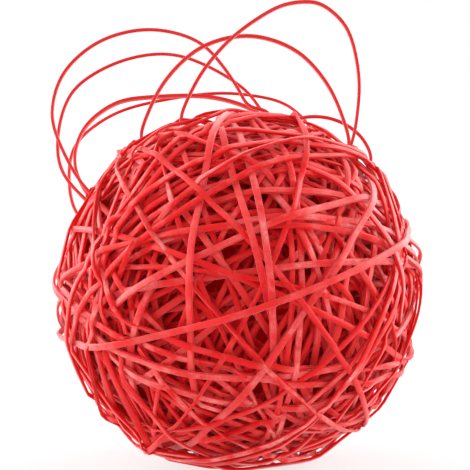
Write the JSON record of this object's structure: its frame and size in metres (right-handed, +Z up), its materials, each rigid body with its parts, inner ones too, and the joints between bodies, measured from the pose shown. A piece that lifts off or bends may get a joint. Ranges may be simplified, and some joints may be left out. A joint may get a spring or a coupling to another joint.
{
  "type": "rubber band ball",
  "caption": "Ball wound from flat red rubber bands that cross every way, with slack bands looping out of its top.",
  "frame": {"origin": "on the desk plane, below the middle of the whole part's box; the ball's centre is 48.7 mm above it and about 1.4 mm to the right", "axes": "+Z is up, -Y is the front that the picture shows, and +X is to the right of that view; the slack bands lean back towards +Y"},
  "size_m": [0.107, 0.1088, 0.1311],
  "materials": {
    "inner_windings": "matte, deep red in the shade of the outer bands",
    "loose_bands": "satin, unstretched red rubber",
    "wound_bands": "satin, stretched red rubber"
  },
  "bodies": {
    "root": {"inner_windings": "inner_windings", "loose_band_1": "loose_bands", "loose_band_2": "loose_bands", "loose_band_3": "loose_bands", "loose_band_4": "loose_bands", "loose_band_5": "loose_bands", "loose_band_6": "loose_bands", "loose_band_7": "loose_bands", "wound_band_01": "wound_bands", "wound_band_02": "wound_bands", "wound_band_03": "wound_bands", "wound_band_04": "wound_bands", "wound_band_05": "wound_bands", "wound_band_06": "wound_bands", "wound_band_07": "wound_bands", "wound_band_08": "wound_bands", "wound_band_09": "wound_bands", "wound_band_10": "wound_bands", "wound_band_11": "wound_bands", "wound_band_12": "wound_bands", "wound_band_13": "wound_bands", "wound_band_14": "wound_bands", "wound_band_15": "wound_bands", "wound_band_16": "wound_bands", "wound_band_17": "wound_bands", "wound_band_18": "wound_bands", "wound_band_19": "wound_bands", "wound_band_20": "wound_bands", "wound_band_21": "wound_bands", "wound_band_22": "wound_bands", "wound_band_23": "wound_bands", "wound_band_24": "wound_bands", "wound_band_25": "wound_bands", "wound_band_26": "wound_bands", "wound_band_27": "wound_bands", "wound_band_28": "wound_bands", "wound_band_29": "wound_bands", "wound_band_30": "wound_bands", "wound_band_31": "wound_bands", "wound_band_32": "wound_bands", "wound_band_33": "wound_bands", "wound_band_34": "wound_bands", "wound_band_35": "wound_bands"}
  },
  "joints": []
}
